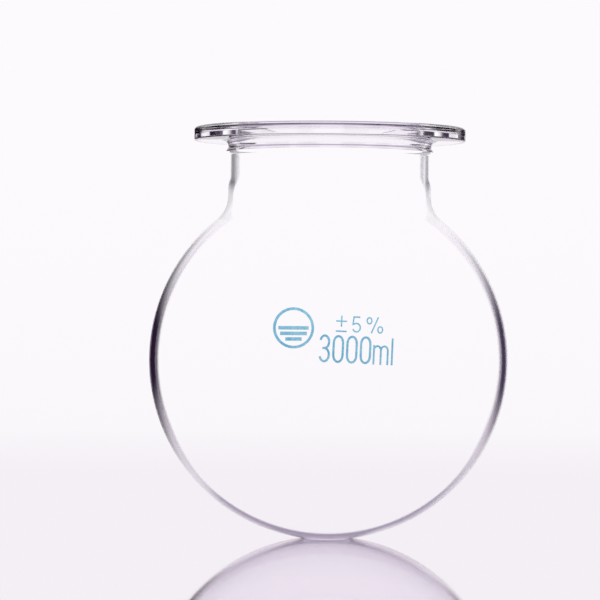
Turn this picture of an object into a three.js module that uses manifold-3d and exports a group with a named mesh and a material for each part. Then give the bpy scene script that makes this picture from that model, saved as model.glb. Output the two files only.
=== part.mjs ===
// Round bottom flask, 3000 ml, wide neck with a flat clamping flange, in borosilicate glass.
//
// Millimetres, +Z up. The origin is the centre of the small flattened foot under the bulb, so
// the flask stands on the plane z = 0 with its axis on Z. The printed marks face -Y.
//
// The glassblower makes the flask from three blanks that are fused end to end: the blown bulb,
// the heavy-walled neck tube and the pressed flange with its short collar. Each is one mesh.
// Each fired enamel mark of the print is one mesh too.

import * as THREE from 'three';
import { mergeVertices } from 'three/addons/utils/BufferGeometryUtils.js';
import { TessellateModifier } from 'three/addons/modifiers/TessellateModifier.js';
import Module from 'manifold-3d';

// ---- Bulb
const BULB_R = 92.5; // outside
const BULB_WALL = 3;
const FOOT_R = 12; // flattened disc that the flask stands on
const CENTRE_Z = Math.sqrt(BULB_R ** 2 - FOOT_R ** 2);
const SHOULDER_R = 16; // outside fillet from neck to bulb
const SHOULDER_INSIDE_R = 20;
const SHOULDER_TOP_Z = 181; // where the bulb is fused to the neck tube

// ---- Neck tube
const NECK_R = 52.4; // outside
const BORE_R = 48.8;
const BEAD_Z = 198.6; // fused seam between neck tube and flange collar
const BEAD_R = 53.4; // the seam's low bead, outside
const BEAD_ROUND = 2.2;

// ---- Flange
const FLANGE_R = 70;
const FLANGE_TOP_Z = 211.2;
const FLANGE_THICK = 6.8;
const RIM_TOP_ROUND = 1.6;
const RIM_BOTTOM_ROUND = 0.8;
const MOUTH_ROUND = 3.4; // fire-polished edge of the mouth
const COLLAR_FILLET = 3.2; // from the flange's underside to its collar

// ---- Fired print on the front of the bulb
const PRINT_CLEARANCE = 0.05; // above the bulb's surface
const PRINT_THICK = 0.15;
const PRINT_EDGE = 2.4; // longest edge, so that a mark follows the bulb
const PRINT_SLOPE = THREE.MathUtils.degToRad(-2.2); // the rows run slightly downhill
const ROW_START = new THREE.Vector2(-5.8, 0.7); // left end of the lower row's baseline
const UPPER_ROW = new THREE.Vector2(7.9, 15.1); // the upper row's start, from ROW_START
const ROUNDEL_AT = new THREE.Vector2(-17.8, 17.2);
const ROUNDEL_R = 10;
const ROUNDEL_STROKE = 1.3;
const LEVEL_BAR = { width: 1.7, pitch: 2.7, clearance: 1.3 }; // inside the roundel
const DIGIT = { height: 13.6, width: 5.6, stroke: 1.1, pitch: 6.65 };
const UNIT = { height: 9.5, width: 7.7, stroke: 0.9, start: 26.4, ascender: 13.1, gap: 1.7 };
const SMALL = { height: 7.9, width: 4.4, stroke: 0.7, gap: 2.5 };
const SIGN = 5.3; // plus and minus signs, each way
const PERCENT = { ringHeight: 3.7, ringWidth: 3, slashStart: 2.6, lean: 3.2, overlap: 0.4 };
const BOWL_STEPS = 11; // facets along a digit's bowl
const END_STEPS = 8; // facets along a rounded end or arch
const RING_STEPS = 32;

const AROUND = 80; // facets round the axis
const LOWER_BULB_STEPS = 13;
const UPPER_BULB_STEPS = 9;
const FILLET_STEPS = 4;
const TURN = Math.PI / 2; // a quarter turn

const glass = new THREE.MeshStandardMaterial({
  color: 0xf4f1f8,
  roughness: 0.03,
  metalness: 0,
  transparent: true,
  opacity: 0.35,
});
const enamel = new THREE.MeshStandardMaterial({
  color: 0x6fb6cf,
  roughness: 0.45,
  metalness: 0,
});

const flask = new THREE.Group();
flask.name = 'round_bottom_flask';

// ---- Turned glass

/** Points on an arc about (r, z) from one angle to another, both ends included. */
function arc(r, z, radius, from, to, steps) {
  const points = [];
  for (let i = 0; i <= steps; i += 1) {
    const a = from + ((to - from) * i) / steps;
    points.push(new THREE.Vector2(r + radius * Math.cos(a), z + radius * Math.sin(a)));
  }
  return points;
}

/** The fillet between a tube of radius r and a sphere of radius R, on the tube's outer side. */
function shoulder(r, R, round) {
  const centreR = r + round;
  const centreZ = CENTRE_Z + Math.sqrt((R + round) ** 2 - centreR ** 2);
  const towardsBulb = Math.atan2(centreZ - CENTRE_Z, centreR);
  return { centreR, centreZ, towardsBulb };
}

/** A solid turned about Z from a profile of (radius, height) points. */
function turned(name, profile) {
  const geometry = new THREE.LatheGeometry(profile, AROUND);
  geometry.rotateX(TURN);
  const mesh = new THREE.Mesh(geometry, glass);
  mesh.name = name;
  flask.add(mesh);
}

function bulb() {
  const inner = BULB_R - BULB_WALL;
  const outside = shoulder(NECK_R, BULB_R, SHOULDER_R);
  const inside = shoulder(BORE_R, inner, SHOULDER_INSIDE_R);
  const { centreR: outR, centreZ: outZ, towardsBulb: outAngle } = outside;
  const { centreR: inR, centreZ: inZ, towardsBulb: inAngle } = inside;
  const footAngle = Math.atan2(-CENTRE_Z, FOOT_R);
  turned('bulb', [
    new THREE.Vector2(0, 0),
    ...arc(0, CENTRE_Z, BULB_R, footAngle, 0, LOWER_BULB_STEPS),
    ...arc(0, CENTRE_Z, BULB_R, 0, outAngle, UPPER_BULB_STEPS).slice(1),
    ...arc(outR, outZ, SHOULDER_R, outAngle - Math.PI, -Math.PI, FILLET_STEPS).slice(1),
    new THREE.Vector2(NECK_R, SHOULDER_TOP_Z),
    new THREE.Vector2(BORE_R, SHOULDER_TOP_Z),
    ...arc(inR, inZ, SHOULDER_INSIDE_R, -Math.PI, inAngle - Math.PI, FILLET_STEPS),
    ...arc(0, CENTRE_Z, inner, inAngle, 0, UPPER_BULB_STEPS).slice(1),
    ...arc(0, CENTRE_Z, inner, 0, -TURN, LOWER_BULB_STEPS).slice(1),
  ]);
}

/** The angle on the seam's bead where it runs into the tube, above and below its crest. */
function beadReach() {
  return Math.acos((NECK_R - BEAD_R + BEAD_ROUND) / BEAD_ROUND);
}

function neckTube() {
  turned('neck_tube', [
    new THREE.Vector2(BORE_R, SHOULDER_TOP_Z),
    new THREE.Vector2(NECK_R, SHOULDER_TOP_Z),
    ...arc(BEAD_R - BEAD_ROUND, BEAD_Z, BEAD_ROUND, -beadReach(), 0, FILLET_STEPS),
    new THREE.Vector2(BORE_R, BEAD_Z),
    new THREE.Vector2(BORE_R, SHOULDER_TOP_Z),
  ]);
}

function flange() {
  const top = FLANGE_TOP_Z;
  const underside = top - FLANGE_THICK;
  const rimR = FLANGE_R - RIM_TOP_ROUND;
  const lowRimR = FLANGE_R - RIM_BOTTOM_ROUND;
  const filletZ = underside - COLLAR_FILLET;
  turned('flange', [
    new THREE.Vector2(BORE_R, BEAD_Z),
    ...arc(BEAD_R - BEAD_ROUND, BEAD_Z, BEAD_ROUND, 0, beadReach(), FILLET_STEPS),
    ...arc(NECK_R + COLLAR_FILLET, filletZ, COLLAR_FILLET, Math.PI, TURN, FILLET_STEPS),
    ...arc(lowRimR, underside + RIM_BOTTOM_ROUND, RIM_BOTTOM_ROUND, -TURN, 0, FILLET_STEPS),
    ...arc(rimR, top - RIM_TOP_ROUND, RIM_TOP_ROUND, 0, TURN, FILLET_STEPS),
    ...arc(BORE_R + MOUTH_ROUND, top - MOUTH_ROUND, MOUTH_ROUND, TURN, 2 * TURN, FILLET_STEPS + 2),
    new THREE.Vector2(BORE_R, BEAD_Z),
  ]);
}

// ---- Fired print

const wasm = await Module();
wasm.setup();

/** The outline of a pen stroke of one width along points; a loop gives an outline with a hole. */
function penStroke(points, width, loop = false) {
  const n = points.length;
  const side = (sign) => points.map((p, i) => {
    const before = loop ? points[(i + n - 1) % n] : points[Math.max(i - 1, 0)];
    const after = loop ? points[(i + 1) % n] : points[Math.min(i + 1, n - 1)];
    const back = p.clone().sub(before).normalize();
    const ahead = after.clone().sub(p).normalize();
    const along = back.clone().add(ahead).normalize();
    const full = i > 0 && i < n - 1 ? ahead : along;
    const mitre = (sign * width) / 2 / along.dot(full);
    return new THREE.Vector2(p.x - along.y * mitre, p.y + along.x * mitre);
  });
  if (loop) {
    const shape = new THREE.Shape(side(-1));
    shape.holes.push(new THREE.Path(side(1)));
    return shape;
  }
  return new THREE.Shape([...side(-1), ...side(1).reverse()]);
}

/** A flat extruded outline as a solid that can be joined to another. */
function slab(shape) {
  const extruded = new THREE.ExtrudeGeometry(shape, { depth: PRINT_THICK, bevelEnabled: false });
  extruded.deleteAttribute('normal');
  extruded.deleteAttribute('uv');
  const geometry = mergeVertices(extruded);
  return new wasm.Manifold(new wasm.Mesh({
    numProp: 3,
    vertProperties: new Float32Array(geometry.attributes.position.array),
    triVerts: new Uint32Array(geometry.index.array),
  }));
}

/** Lays flat geometry on the front of the bulb: x across, y up, z out from the surface. */
function layOnBulb(geometry) {
  const position = geometry.attributes.position;
  for (let i = 0; i < position.count; i += 1) {
    const x = position.getX(i);
    const up = position.getY(i);
    const depth = Math.sqrt(BULB_R ** 2 - x ** 2 - up ** 2);
    const out = (BULB_R + PRINT_CLEARANCE + position.getZ(i)) / BULB_R;
    position.setXYZ(i, x * out, -depth * out, CENTRE_Z + up * out);
  }
}

/** One printed mark from its strokes, which are joined where they cross. */
function mark(name, strokes, at, turn = 0) {
  const joined = strokes.map(slab).reduce((whole, part) => whole.add(part)).getMesh();
  let geometry = new THREE.BufferGeometry();
  geometry.setAttribute('position', new THREE.BufferAttribute(joined.vertProperties, 3));
  geometry.setIndex(new THREE.BufferAttribute(joined.triVerts, 1));
  geometry.rotateZ(turn);
  geometry.translate(at.x, at.y, 0);
  geometry = new TessellateModifier(PRINT_EDGE, 8).modify(geometry);
  layOnBulb(geometry);
  const mesh = new THREE.Mesh(geometry, enamel);
  mesh.name = name;
  flask.add(mesh);
}

/** A point in the sloping rows, from the left end of the lower row's baseline. */
function inRow(x, y) {
  return new THREE.Vector2(x, y).rotateAround(new THREE.Vector2(), PRINT_SLOPE).add(ROW_START);
}

function line(...coordinates) {
  const points = [];
  for (let i = 0; i < coordinates.length; i += 2) {
    points.push(new THREE.Vector2(coordinates[i], coordinates[i + 1]));
  }
  return points;
}

/** Points on an elliptical arc. */
function oval(x, y, rx, ry, from, to, steps) {
  const unit = arc(0, 0, 1, from, to, steps);
  return unit.map((p) => new THREE.Vector2(x + rx * p.x, y + ry * p.y));
}

/** A zero: straight sides and rounded ends. */
function zero({ height, width, stroke }) {
  const rx = (width - stroke) / 2;
  const top = (height - stroke) / 2;
  const longEnd = 1.45 * rx;
  const ry = Math.min(longEnd, top);
  const ends = [
    ...oval(0, top - ry, rx, ry, 0, Math.PI, END_STEPS),
    ...oval(0, ry - top, rx, ry, Math.PI, 2 * Math.PI, END_STEPS),
  ].filter((p, i, all) => p.distanceTo(all[(i + 1) % all.length]) > 1e-6);
  return [penStroke(ends, stroke, true)];
}

/** A three: two bowls that meet in a short bar a little above the middle. */
function three({ height, width, stroke }) {
  const rx = (width - stroke) / 2;
  const half = (height - stroke) / 2;
  const middle = 0.03 * half;
  const barEnd = -0.45 * rx;
  const upperRx = 0.95 * rx;
  const upper = (half - middle) / 2;
  const lower = (half + middle) / 2;
  const tip = THREE.MathUtils.degToRad(165);
  const bar = line(barEnd, middle);
  const upperBowl = oval(0, middle + upper, upperRx, upper, tip, -TURN, BOWL_STEPS);
  const lowerBowl = oval(0, middle - lower, rx, lower, TURN, -tip, BOWL_STEPS);
  return [
    penStroke([...upperBowl, ...bar], stroke),
    penStroke([...bar, ...lowerBowl], stroke),
  ];
}

/** A five: a top bar, a short leaning stem and a bowl. */
function five({ height, width, stroke }) {
  const rx = (width - stroke) / 2;
  const half = (height - stroke) / 2;
  const bowl = 0.58 * half;
  const barEnd = 0.9 * rx;
  const stemTop = -0.75 * rx;
  const stemFoot = -0.95 * rx;
  const bowlStart = THREE.MathUtils.degToRad(120);
  const bowlEnd = THREE.MathUtils.degToRad(-160);
  const stem = line(barEnd, half, stemTop, half, stemFoot, 0);
  return [
    penStroke([
      ...stem,
      ...oval(0, bowl - half, rx, bowl, bowlStart, bowlEnd, BOWL_STEPS),
    ], stroke),
  ];
}

/** The letter m of the unit: a stem and two arches. */
function letterM({ height, width, stroke }) {
  const span = (width - stroke) / 2;
  const rise = 0.6 * span;
  const spring = height - stroke / 2 - rise;
  const arch = (x) => penStroke([
    ...oval(x + span / 2, spring, span / 2, rise, Math.PI, 0, END_STEPS),
    ...line(x + span, 0),
  ], stroke);
  return [penStroke(line(0, 0, 0, height), stroke), arch(0), arch(span)];
}

/** A ring with a level sign: three bars that fill its lower half. */
function roundel() {
  const ring = arc(0, 0, ROUNDEL_R - ROUNDEL_STROKE / 2, 0, 2 * Math.PI, RING_STEPS).slice(1);
  mark('roundel_ring', [penStroke(ring, ROUNDEL_STROKE, true)], ROUNDEL_AT);
  const { width, pitch, clearance } = LEVEL_BAR;
  const clear = ROUNDEL_R - ROUNDEL_STROKE - clearance;
  ['upper', 'middle', 'lower'].forEach((place, i) => {
    const y = -i * pitch;
    const reach = Math.sqrt(clear ** 2 - (Math.abs(y) + width / 2) ** 2);
    mark(`roundel_bar_${place}`, [penStroke(line(-reach, y, reach, y), width)], ROUNDEL_AT);
  });
}

function capacityRow() {
  const middle = DIGIT.height / 2;
  const first = DIGIT.width / 2;
  mark('capacity_digit_3', three(DIGIT), inRow(first, middle), PRINT_SLOPE);
  for (let i = 1; i <= 3; i += 1) {
    const at = inRow(first + i * DIGIT.pitch, middle);
    mark(`capacity_zero_${i}`, zero(DIGIT), at, PRINT_SLOPE);
  }
  const { stroke } = UNIT;
  const stem = UNIT.start + stroke / 2;
  mark('unit_letter_m', letterM(UNIT), inRow(stem, 0), PRINT_SLOPE);
  const last = stem + UNIT.width + UNIT.gap - stroke / 2;
  const upright = penStroke(line(0, 0, 0, UNIT.ascender), stroke);
  mark('unit_letter_l', [upright], inRow(last, 0), PRINT_SLOPE);
}

/** The capacity's tolerance, plus or minus five per cent. */
function toleranceRow() {
  const { height, width, stroke, gap } = SMALL;
  const { ringHeight, ringWidth, slashStart, lean, overlap } = PERCENT;
  const place = (x, y) => inRow(UPPER_ROW.x + x, UPPER_ROW.y + y);
  const level = penStroke(line(-SIGN / 2, 0, SIGN / 2, 0), stroke);
  const upright = penStroke(line(0, -SIGN / 2, 0, SIGN / 2), stroke);
  const crossing = place(SIGN / 2, height - SIGN / 2);
  mark('tolerance_plus', [level, upright], crossing, PRINT_SLOPE);
  mark('tolerance_minus', [level], place(SIGN / 2, stroke / 2), PRINT_SLOPE);
  const digitAt = SIGN + gap + width / 2;
  mark('tolerance_digit_5', five(SMALL), place(digitAt, height / 2), PRINT_SLOPE);
  const start = digitAt + width / 2 + gap;
  const slashAt = start + slashStart;
  const ring = zero({ height: ringHeight, width: ringWidth, stroke });
  const upperAt = place(start + ringWidth / 2, height - ringHeight / 2);
  const lowerAt = place(slashAt + lean - overlap + ringWidth / 2, ringHeight / 2);
  mark('percent_ring_upper', ring, upperAt, PRINT_SLOPE);
  mark('percent_slash', [penStroke(line(0, 0, lean, height), stroke)], place(slashAt, 0), PRINT_SLOPE);
  mark('percent_ring_lower', ring, lowerAt, PRINT_SLOPE);
}

bulb();
neckTube();
flange();
roundel();
capacityRow();
toleranceRow();

export default flask;
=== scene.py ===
"""Looks of the 3000 ml round bottom flask: fused glass, a fired blue print, a pale glossy table.

Metres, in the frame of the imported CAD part: +Z up, the flask's axis on Z, the print facing -Y.
The bulb, neck tube and flange are turned again here as smooth glass. Where two of them are fused,
their joint faces let light straight through, so that the three read as one glass body.
"""

import math

import bpy
from mathutils import Matrix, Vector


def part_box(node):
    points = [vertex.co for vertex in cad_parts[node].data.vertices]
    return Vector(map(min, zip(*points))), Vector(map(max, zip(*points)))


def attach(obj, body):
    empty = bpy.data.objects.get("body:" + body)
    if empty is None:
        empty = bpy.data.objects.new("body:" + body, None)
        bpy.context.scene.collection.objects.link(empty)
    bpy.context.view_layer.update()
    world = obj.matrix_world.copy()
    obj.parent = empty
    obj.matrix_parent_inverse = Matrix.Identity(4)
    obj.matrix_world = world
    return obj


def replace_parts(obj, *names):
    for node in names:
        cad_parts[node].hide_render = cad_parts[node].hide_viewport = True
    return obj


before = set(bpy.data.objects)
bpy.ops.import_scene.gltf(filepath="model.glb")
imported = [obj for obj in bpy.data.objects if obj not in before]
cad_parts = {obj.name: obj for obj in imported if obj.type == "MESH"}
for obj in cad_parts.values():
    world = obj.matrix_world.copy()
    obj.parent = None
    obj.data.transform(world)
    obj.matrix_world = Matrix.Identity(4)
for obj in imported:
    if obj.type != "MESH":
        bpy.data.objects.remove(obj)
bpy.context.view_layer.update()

MM = 0.001
QUARTER = math.pi / 2

# ---- Sizes: what the frame gives exactly, then the section's own radii
FLANGE_LOW, FLANGE_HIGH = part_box("flange")
NECK_LOW, NECK_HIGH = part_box("neck_tube")
FLANGE_R = FLANGE_HIGH.x
FLANGE_TOP_Z = FLANGE_HIGH.z
JOINT_HIGH_Z = FLANGE_LOW.z  # flange collar fused to neck tube
JOINT_LOW_Z = NECK_LOW.z  # neck tube fused to bulb
BEAD_R = NECK_HIGH.x

BULB_R = 92.5 * MM
BULB_WALL = 3.0 * MM
FOOT_R = 12 * MM
CENTRE_Z = math.sqrt(BULB_R**2 - FOOT_R**2)
SHOULDER_R = 16 * MM
SHOULDER_INSIDE_R = 20 * MM
NECK_R = 52.4 * MM
BORE_R = 48.8 * MM
BEAD_ROUND = 2.2 * MM
FLANGE_THICK = 6.8 * MM
RIM_TOP_ROUND = 1.6 * MM
RIM_BOTTOM_ROUND = 0.8 * MM
MOUTH_ROUND = 3.4 * MM
COLLAR_FILLET = 3.2 * MM

AROUND = 360  # faces round the axis
FINE = 90  # steps along a long arc
ROUND_STEPS = 14  # steps along a small rounding
SHARP_FROM = math.radians(22)  # edges that turn by more than this stay sharp

GLASS_IOR = 1.473
GLASS_COLOUR = (0.992, 0.983, 0.996, 1)
BLOWN_WAVES = 16.0  # noise scales of the surface's faint waviness
PRESSED_WAVES = 22.0

# The rim's band, by Layer Weight's Facing: where bending starts, is full, starts to fade and has gone
BULB_RIM = (0.66, 0.71, 1.0, 1.1)
NECK_RIM = (0.52, 0.59, 0.71, 0.80)
NECK_BLEND = (0.176, 0.186)  # heights between which the bulb's values turn into the neck's
THROAT = (0.148, 0.172, 0.176, 0.186)  # heights where the paler rim starts, is full, ends and has gone
THROAT_SOFT = 0.65  # share of the rim's bending that is left out
NECK_SOFT = 0.30
LOW_BLEND = (0.025, 0.062)  # heights between which the even wall turns into the uneven one below
LOW_NARROWER = 0.06
LOW_SOFT = 0.55
UNEVEN_SCALE = 14.0
UNEVEN_SEED = 1.0
UNEVEN_SHARE = (0.42, 0.58)  # noise values between which the wall turns thin


# ---- Materials


class Nodes:
    """Short calls for building one node tree."""

    def __init__(self, tree):
        self.tree = tree
        tree.nodes.clear()

    def add(self, kind, **values):
        """A node; keywords set its sockets by name, or by number as in1, and link where given a socket."""
        node = self.tree.nodes.new(kind)
        for key, value in values.items():
            by_number = key[:2] == "in" and key[2:].isdigit()
            socket = int(key[2:]) if by_number else key.replace("_", " ")
            self.give(node.inputs[socket], value)
        return node

    def give(self, socket, value):
        """Sets a socket, or links it where given another socket."""
        if isinstance(value, bpy.types.NodeSocket):
            self.tree.links.new(value, socket)
        else:
            socket.default_value = value

    def math(self, operation, *values):
        node = self.add("ShaderNodeMath", **{f"in{i}": v for i, v in enumerate(values)})
        node.operation = operation
        return node.outputs[0]

    def length(self, vector):
        node = self.add("ShaderNodeVectorMath", in0=vector)
        node.operation = "LENGTH"
        return node.outputs["Value"]

    def step(self, value, start, end):
        """0 below start, 1 above end, smooth between."""
        node = self.add("ShaderNodeMapRange", Value=value)
        node.interpolation_type = "SMOOTHSTEP"
        self.give(node.inputs["From Min"], start)
        self.give(node.inputs["From Max"], end)
        return node.outputs["Result"]

    def mix(self, factor, first, second):
        """Mixes two colours."""
        node = self.add("ShaderNodeMix")
        node.data_type = "RGBA"
        for i, value in ((0, factor), (6, first), (7, second)):
            self.give(node.inputs[i], value)
        return node.outputs[2]

    def blend(self, factor, first, second):
        """Mixes two shaders."""
        node = self.add("ShaderNodeMixShader", in0=factor, in1=first, in2=second)
        return node.outputs[0]


def material(name):
    made = bpy.data.materials.new(name)
    made.use_nodes = True
    return made, Nodes(made.node_tree)


def surface(nodes, shader, kind="ShaderNodeOutputMaterial"):
    nodes.add(kind, Surface=shader)


def solid_glass(n, place, scale):
    """Clear borosilicate with the faint waviness of blown glass."""
    wave = n.add("ShaderNodeTexNoise", Vector=place, Scale=scale, Detail=1.0).outputs["Fac"]
    bump = n.add("ShaderNodeBump", Height=wave, Strength=0.02, Distance=0.002).outputs["Normal"]
    glass = n.add("ShaderNodeBsdfGlass", Color=GLASS_COLOUR, Roughness=0.0, IOR=GLASS_IOR, Normal=bump)
    return glass.outputs[0]


def with_light_through(n, path, camera_share, solid):
    """Solid glass, but clear to a share of the camera's rays, and to the light that reaches the print."""
    unbent = n.math("MAXIMUM", path["Is Shadow Ray"], path["Is Diffuse Ray"])
    straight = n.math("MULTIPLY", path["Is Camera Ray"], camera_share)
    clear = n.add("ShaderNodeBsdfTransparent").outputs[0]
    surface(n, n.blend(n.math("MAXIMUM", straight, unbent), solid, clear))


def blown_material():
    """The bulb and neck: a camera ray goes straight through where it is square on, and bends near the rim."""
    made, n = material("blown_glass")
    place = n.add("ShaderNodeTexCoord").outputs["Object"]
    path = n.add("ShaderNodeLightPath").outputs
    z = n.add("ShaderNodeSeparateXYZ", Vector=place).outputs["Z"]
    facing = n.add("ShaderNodeLayerWeight", Blend=0.5).outputs["Facing"]
    neck = n.step(z, *NECK_BLEND)
    low = n.math("SUBTRACT", 1.0, n.step(z, *LOW_BLEND))
    throat = n.math("MULTIPLY", n.step(z, *THROAT[:2]), n.math("SUBTRACT", 1.0, n.step(z, *THROAT[2:])))

    def by_height(bulb_value, neck_value):
        return n.math("MULTIPLY_ADD", neck, neck_value - bulb_value, bulb_value)

    starts, full, fades, gone = (by_height(*pair) for pair in zip(BULB_RIM, NECK_RIM))
    opens = n.step(n.math("MULTIPLY_ADD", low, -LOW_NARROWER, facing), starts, full)
    rim = n.math("SUBTRACT", opens, n.step(facing, fades, gone))

    uneven = n.add("ShaderNodeTexNoise", Vector=place, Scale=UNEVEN_SCALE, Detail=1.0)
    uneven.noise_dimensions = "4D"
    uneven.inputs["W"].default_value = UNEVEN_SEED
    thin = n.math("MULTIPLY", low, n.step(uneven.outputs["Fac"], *UNEVEN_SHARE))
    softer = n.math("MAXIMUM", n.math("MULTIPLY", throat, THROAT_SOFT), n.math("MULTIPLY", neck, NECK_SOFT))
    softer = n.math("MAXIMUM", softer, n.math("MULTIPLY", thin, LOW_SOFT))
    rim = n.math("MULTIPLY", rim, n.math("SUBTRACT", 1.0, softer))

    first_met = n.math("LESS_THAN", path["Transparent Depth"], 0.5)
    unbent = n.math("SUBTRACT", 1.0, n.math("MULTIPLY", rim, first_met))
    with_light_through(n, path, unbent, solid_glass(n, place, BLOWN_WAVES))
    return made


def flange_material():
    """The flange. It bends light wherever it is seen directly; through the neck's wall it stays clear."""
    made, n = material("flange_glass")
    place = n.add("ShaderNodeTexCoord").outputs["Object"]
    path = n.add("ShaderNodeLightPath").outputs
    behind = n.math("GREATER_THAN", path["Transparent Depth"], 0.5)
    with_light_through(n, path, behind, solid_glass(n, place, PRESSED_WAVES))
    return made


def joint_material():
    made, n = material("fused_joint")
    surface(n, n.add("ShaderNodeBsdfTransparent").outputs[0])
    return made


ENAMEL_DEEP = (0.15, 0.54, 0.77, 1)
ENAMEL_PALE = (0.36, 0.75, 0.90, 1)
ENAMEL_SHARE = (0.36, 0.64)  # noise values between which the deep colour turns into the pale one
ENAMEL_GRAIN = 900.0  # noise scales
ENAMEL_CLOUD = 160.0


def enamel_material():
    made, n = material("fired_blue_enamel")
    place = n.add("ShaderNodeTexCoord").outputs["Object"]
    grain = n.add("ShaderNodeTexNoise", Vector=place, Scale=ENAMEL_GRAIN, Detail=3.0).outputs["Fac"]
    cloud = n.add("ShaderNodeTexNoise", Vector=place, Scale=ENAMEL_CLOUD, Detail=2.0).outputs["Fac"]
    mottle = n.math("ADD", n.math("MULTIPLY", grain, 0.5), n.math("MULTIPLY", cloud, 0.5))
    colour = n.mix(n.step(mottle, *ENAMEL_SHARE), ENAMEL_DEEP, ENAMEL_PALE)
    rough = n.add("ShaderNodeMapRange", Value=grain, To_Min=0.35, To_Max=0.55).outputs["Result"]
    bump = n.add("ShaderNodeBump", Height=grain, Strength=0.15, Distance=0.0001).outputs["Normal"]
    paint = n.add("ShaderNodeBsdfPrincipled", Base_Color=colour, Roughness=rough, Normal=bump).outputs[0]
    surface(n, paint)
    return made


# ---- Turned glass


def arc(r, z, radius, start, end, steps):
    """Points on an arc about (r, z), both ends included."""
    angles = [start + (end - start) * i / steps for i in range(steps + 1)]
    return [(r + radius * math.cos(a), z + radius * math.sin(a)) for a in angles]


def shoulder(r, sphere, fillet):
    """Centre of the fillet between a tube and the bulb's sphere, and its angle from the bulb's centre."""
    centre_r = r + fillet
    centre_z = CENTRE_Z + math.sqrt((sphere + fillet) ** 2 - centre_r**2)
    return centre_r, centre_z, math.atan2(centre_z - CENTRE_Z, centre_r)


def turned(name, profile, joints, glass, joint):
    """A closed smooth solid turned from (radius, height) points; flat faces at a joint get its material."""
    closed = abs(profile[0][0]) > 1e-9
    points = profile if closed else profile[1:-1]
    verts = []
    for r, z in points:
        for k in range(AROUND):
            a = 2 * math.pi * k / AROUND
            verts.append((r * math.sin(a), -r * math.cos(a), z))
    faces = []
    rows = len(points)
    for j in range(rows if closed else rows - 1):
        for k in range(AROUND):
            a, b = j * AROUND + k, j * AROUND + (k + 1) % AROUND
            c, d = (j + 1) % rows * AROUND + (k + 1) % AROUND, (j + 1) % rows * AROUND + k
            faces.append((a, b, c, d))
    if not closed:
        foot, top = len(verts), len(verts) + 1
        verts += [(0, 0, profile[0][1]), (0, 0, profile[-1][1])]
        last = (rows - 1) * AROUND
        for k in range(AROUND):
            faces.append((foot, (k + 1) % AROUND, k))
            faces.append((top, last + k, last + (k + 1) % AROUND))
    mesh = bpy.data.meshes.new(name)
    mesh.from_pydata(verts, [], faces)
    mesh.materials.append(glass)
    mesh.materials.append(joint)
    for face in mesh.polygons:
        heights = [verts[v][2] for v in face.vertices]
        flat = max(heights) - min(heights) < 1e-9
        face.material_index = int(flat and any(abs(heights[0] - z) < 1e-6 for z in joints))
    mesh.shade_smooth()
    mesh.set_sharp_from_angle(angle=SHARP_FROM)
    piece = bpy.data.objects.new(name, mesh)
    bpy.context.scene.collection.objects.link(piece)
    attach(piece, "root")
    return piece


def bulb_profile():
    inner = BULB_R - BULB_WALL
    out_r, out_z, out_angle = shoulder(NECK_R, BULB_R, SHOULDER_R)
    in_r, in_z, in_angle = shoulder(BORE_R, inner, SHOULDER_INSIDE_R)
    return [
        (0, 0),
        *arc(0, CENTRE_Z, BULB_R, math.atan2(-CENTRE_Z, FOOT_R), out_angle, FINE),
        *arc(out_r, out_z, SHOULDER_R, out_angle - math.pi, -math.pi, ROUND_STEPS)[1:],
        (NECK_R, JOINT_LOW_Z),
        (BORE_R, JOINT_LOW_Z),
        *arc(in_r, in_z, SHOULDER_INSIDE_R, -math.pi, in_angle - math.pi, ROUND_STEPS),
        *arc(0, CENTRE_Z, inner, in_angle, -QUARTER, FINE)[1:],
    ]


def neck_profile():
    bead = BEAD_R - BEAD_ROUND
    start = -math.acos((NECK_R - bead) / BEAD_ROUND)
    return [
        (BORE_R, JOINT_LOW_Z),
        (NECK_R, JOINT_LOW_Z),
        *arc(bead, JOINT_HIGH_Z, BEAD_ROUND, start, 0, ROUND_STEPS),
        (BORE_R, JOINT_HIGH_Z),
    ]


def flange_profile():
    bead = BEAD_R - BEAD_ROUND
    top, under = FLANGE_TOP_Z, FLANGE_TOP_Z - FLANGE_THICK
    low_round = RIM_BOTTOM_ROUND
    return [
        (BORE_R, JOINT_HIGH_Z),
        *arc(bead, JOINT_HIGH_Z, BEAD_ROUND, 0, math.acos((NECK_R - bead) / BEAD_ROUND), ROUND_STEPS),
        *arc(NECK_R + COLLAR_FILLET, under - COLLAR_FILLET, COLLAR_FILLET, math.pi, QUARTER, ROUND_STEPS),
        *arc(FLANGE_R - low_round, under + low_round, low_round, -QUARTER, 0, ROUND_STEPS),
        *arc(FLANGE_R - RIM_TOP_ROUND, top - RIM_TOP_ROUND, RIM_TOP_ROUND, 0, QUARTER, ROUND_STEPS),
        *arc(BORE_R + MOUTH_ROUND, top - MOUTH_ROUND, MOUTH_ROUND, QUARTER, math.pi, ROUND_STEPS),
    ]


blown = blown_material()
fused = joint_material()
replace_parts(turned("bulb_glass", bulb_profile(), [JOINT_LOW_Z], blown, fused), "bulb")
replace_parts(turned("neck_glass", neck_profile(), [JOINT_LOW_Z, JOINT_HIGH_Z], blown, fused), "neck_tube")
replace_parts(turned("flange_glass", flange_profile(), [JOINT_HIGH_Z], flange_material(), fused), "flange")

enamel = enamel_material()
for node_name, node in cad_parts.items():
    if node_name not in ("bulb", "neck_tube", "flange"):
        node.data.materials.clear()
        node.data.materials.append(enamel)

# ---- Table: a pale glossy disc that fades into the backdrop at its edge

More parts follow.
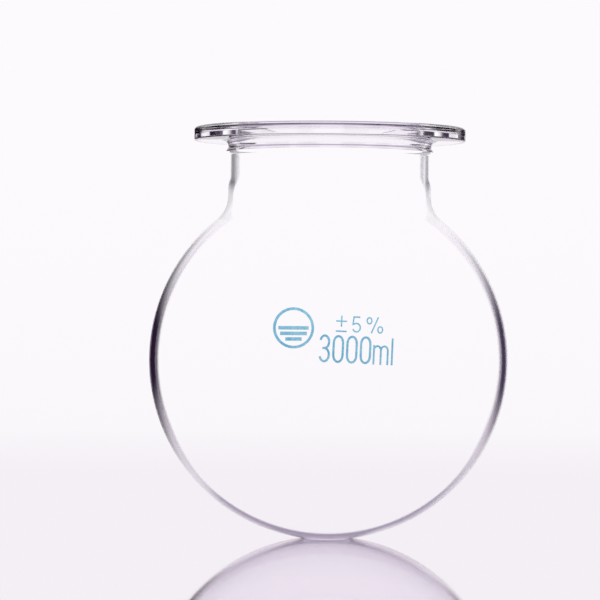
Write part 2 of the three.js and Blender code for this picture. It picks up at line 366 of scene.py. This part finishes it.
TABLE_R = 1.40
FADE_FROM = 0.50  # distance from the flask where the table starts to fade
TABLE_TONES = ((0.86, 0.83, 0.885, 1), (0.89, 0.865, 0.91, 1))
PAINTED_RIM_SHADE = (0.40, 0.35, 0.46, 1)  # painted shade: the table's tone for bent rays, chosen to darken the lower rim; seen through the glass, the table glows darker than it does to the camera
TABLE_GLOSS = (0.93, 0.905, 0.93, 1)
TABLE_GLOSS_FROM = (0.58, 0.84)  # Facing values between which the gloss comes in
TABLE_GLOSS_SHARE = 0.94
TABLE_ROUGHNESS = 0.03  # for camera rays; bent rays meet a perfectly smooth table


def table_material():
    made, n = material("pale_table")
    place = n.add("ShaderNodeTexCoord").outputs["Object"]
    facing = n.add("ShaderNodeLayerWeight", Blend=0.5).outputs["Facing"]
    grain = n.add("ShaderNodeTexNoise", Vector=place, Scale=3.0, Detail=2.0).outputs["Fac"]
    tone = n.mix(grain, *TABLE_TONES)
    direct = n.add("ShaderNodeLightPath").outputs["Is Camera Ray"]
    # Painted shade: rays bent by the glass see the table glow in the dark rim tone rather than its own pale
    # tone
    body = n.add("ShaderNodeEmission", Color=n.mix(direct, PAINTED_RIM_SHADE, tone), Strength=1.0).outputs[0]
    rough = n.math("MULTIPLY", direct, TABLE_ROUGHNESS)
    gloss = n.add("ShaderNodeBsdfGlossy", Color=TABLE_GLOSS, Roughness=rough).outputs[0]
    share = n.math("MULTIPLY", n.step(facing, *TABLE_GLOSS_FROM), TABLE_GLOSS_SHARE)
    lit = n.blend(share, body, gloss)
    clear = n.add("ShaderNodeBsdfTransparent").outputs[0]
    surface(n, n.blend(n.step(n.length(place), FADE_FROM, TABLE_R), lit, clear))
    return made


bpy.ops.mesh.primitive_circle_add(vertices=128, radius=TABLE_R, fill_type="NGON")
table = bpy.context.object
table.name = "table"
table.data.materials.append(table_material())

# ---- Studio: a plain backdrop for the camera, and bright panels with dark gaps for the glass to bend

# Angles in degrees. The panels and gaps repeat round the flask, so that it looks alike from each side.
PANEL_PITCH = 90.0
LEFT_GAP = (-44.0, -40.0, -12.2, -10.8)  # where the gap starts, is dark, starts to end and has ended
RIGHT_GAP = (15.0, 18.0, 30.0, 40.0)
LEFT_DARK = (0.022, 0.011, 0.032, 1)
RIGHT_DARK = (0.065, 0.045, 0.090, 1)
SIDE_LIGHT = 1.2  # strength far to the side, for bent rays
SIDE_LIGHT_FROM = (40.0, 43.0)
OVERHEAD = (3.0, 19.0)  # heights, as angles, between which the gaps give way to light from above
BACKDROP_LOW = (0.905, 0.88, 0.915, 1)
BACKDROP = (0.975, 0.955, 0.985, 1)
BACKDROP_BLEND = (-12.0, 3.0)  # heights between which the low tone turns into the backdrop's


def studio():
    world = bpy.data.worlds.new("studio")
    world.use_nodes = True
    bpy.context.scene.world = world
    n = Nodes(world.node_tree)
    way = n.add("ShaderNodeSeparateXYZ", Vector=n.add("ShaderNodeTexCoord").outputs["Generated"]).outputs
    path = n.add("ShaderNodeLightPath").outputs
    azimuth = n.math("MULTIPLY", n.math("ARCTAN2", way["X"], way["Y"]), math.degrees(1))
    height = n.math("MULTIPLY", n.math("ARCSINE", way["Z"]), math.degrees(1))
    half = PANEL_PITCH / 2
    turn = n.math("SUBTRACT", n.math("MODULO", n.math("ADD", azimuth, 360.0 + half), PANEL_PITCH), half)

    not_sharp = n.math("SUBTRACT", 1.0, path["Is Singular Ray"])
    rough_glossy = n.math("MULTIPLY", path["Is Glossy Ray"], not_sharp)
    seen = n.math("MAXIMUM", path["Is Camera Ray"], path["Is Diffuse Ray"])
    bent = n.math("SUBTRACT", 1.0, n.math("MAXIMUM", seen, rough_glossy))
    low = n.math("MULTIPLY", bent, n.math("SUBTRACT", 1.0, n.step(height, *OVERHEAD)))

    def gap(starts, dark, ends, ended):
        over = n.math("SUBTRACT", 1.0, n.step(turn, ends, ended))
        return n.math("MULTIPLY", n.math("MULTIPLY", n.step(turn, starts, dark), over), low)

    colour = n.mix(n.step(height, *BACKDROP_BLEND), BACKDROP_LOW, BACKDROP)
    colour = n.mix(gap(*LEFT_GAP), colour, LEFT_DARK)
    colour = n.mix(gap(*RIGHT_GAP), colour, RIGHT_DARK)
    aside = n.math("MULTIPLY", n.step(n.math("ABSOLUTE", turn), *SIDE_LIGHT_FROM), bent)
    strength = n.add("ShaderNodeMapRange", Value=aside, To_Min=1.0, To_Max=SIDE_LIGHT).outputs["Result"]
    background = n.add("ShaderNodeBackground", Color=colour, Strength=strength).outputs[0]
    surface(n, background, "ShaderNodeOutputWorld")


studio()

# ---- Camera: level, a little above the bulb's middle, so the flange is seen from just below

VIEW_DISTANCE = 1.553
EYE_Z = 0.1225
ASIDE = -0.0148
ROLL = math.radians(0.45)
FRAME_WIDTH = 0.30954  # what the frame spans at the flask's axis
SENSOR_WIDTH = 36
BOUNCES = 24  # enough for a ray to leave the nested glass walls

camera_data = bpy.data.cameras.new("camera")
camera_data.sensor_width = SENSOR_WIDTH
camera_data.lens = SENSOR_WIDTH * VIEW_DISTANCE / FRAME_WIDTH
camera = bpy.data.objects.new("camera", camera_data)
bpy.context.scene.collection.objects.link(camera)
camera.location = (ASIDE, -VIEW_DISTANCE, EYE_Z)
camera.rotation_euler = (Matrix.Rotation(QUARTER, 3, "X") @ Matrix.Rotation(ROLL, 3, "Z")).to_euler()
bpy.context.scene.camera = camera

scene = bpy.context.scene
scene.view_settings.view_transform = "Standard"
scene.cycles.max_bounces = BOUNCES
scene.cycles.transmission_bounces = BOUNCES
scene.cycles.transparent_max_bounces = BOUNCES
scene.cycles.caustics_reflective = False
scene.cycles.caustics_refractive = False
